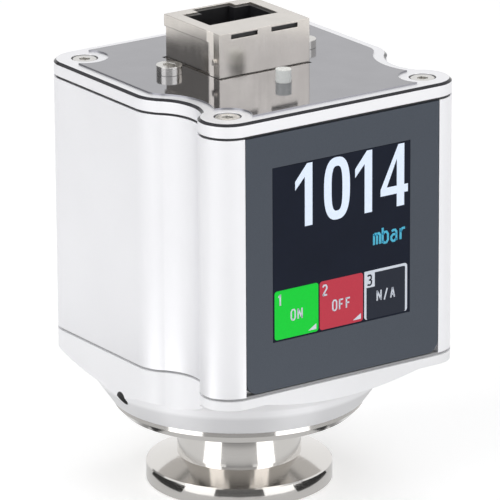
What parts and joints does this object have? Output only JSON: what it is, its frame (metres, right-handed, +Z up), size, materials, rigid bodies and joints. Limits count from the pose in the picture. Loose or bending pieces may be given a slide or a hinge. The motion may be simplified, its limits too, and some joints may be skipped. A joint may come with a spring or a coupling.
{
  "type": "pirani vacuum gauge",
  "caption": "Pirani vacuum gauge: satin aluminium body with hollow flanks, touch screen in front, modular socket on the lid and a turned small-flange vacuum port below.",
  "frame": {"origin": "centre of the flange's sealing face, level with its underside", "axes": "+Z up along the tube towards the lid, -Y towards the screen's side, +X to the right seen from the screen"},
  "size_m": [0.0466, 0.0493, 0.0768],
  "materials": {
    "satin_aluminium": "fine satin",
    "turned_steel": "turned and polished",
    "sensor_steel": "plain",
    "bead_glass": "fused",
    "contact_gold": "gold plated",
    "sensor_silicon": "polished",
    "circuit_board": "solder mask",
    "black_plastic": "moulded",
    "screw_steel": "polished",
    "seal_rubber": "matt",
    "panel_paint": "fine texture",
    "screen_cover": "glossy, lit from behind",
    "module_metal": "plain sheet",
    "cable_film": "film",
    "pale_plastic": "moulded",
    "grey_plate": "glossy",
    "shield_nickel": "nickel plated sheet",
    "clear_plastic": "milky",
    "lamp_plastic": "cast"
  },
  "bodies": {
    "root": {"base_cap": "satin_aluminium", "housing": "satin_aluminium", "top_cap": "satin_aluminium", "flange_tube": "turned_steel", "inlet_filter": "sensor_steel", "filter_ring": "sensor_steel", "sensor_header": "sensor_steel", "sensor_can": "sensor_steel", "clamp_ring": "sensor_steel", "pin_seals": "bead_glass", "sensor_pins": "contact_gold", "jack_contacts": "contact_gold", "sensor_chip": "sensor_silicon", "sensor_board": "circuit_board", "main_board": "circuit_board", "display_board": "circuit_board", "jack_board": "circuit_board", "sensor_plug": "black_plastic", "main_chips": "black_plastic", "board_header": "black_plastic", "jack_insert": "black_plastic", "lock_screw": "screw_steel", "top_screws": "screw_steel", "jack_screws": "screw_steel", "jack_spacers": "screw_steel", "jack_nuts": "screw_steel", "sensor_seal": "seal_rubber", "base_gasket": "seal_rubber", "top_gasket": "seal_rubber", "front_panel": "panel_paint", "screen_glass": "screen_cover", "display_module": "module_metal", "link_cable": "cable_film", "link_sockets": "pale_plastic", "top_label": "grey_plate", "jack_shield": "shield_nickel", "light_pipe": "clear_plastic", "status_led": "lamp_plastic"}
  },
  "joints": []
}
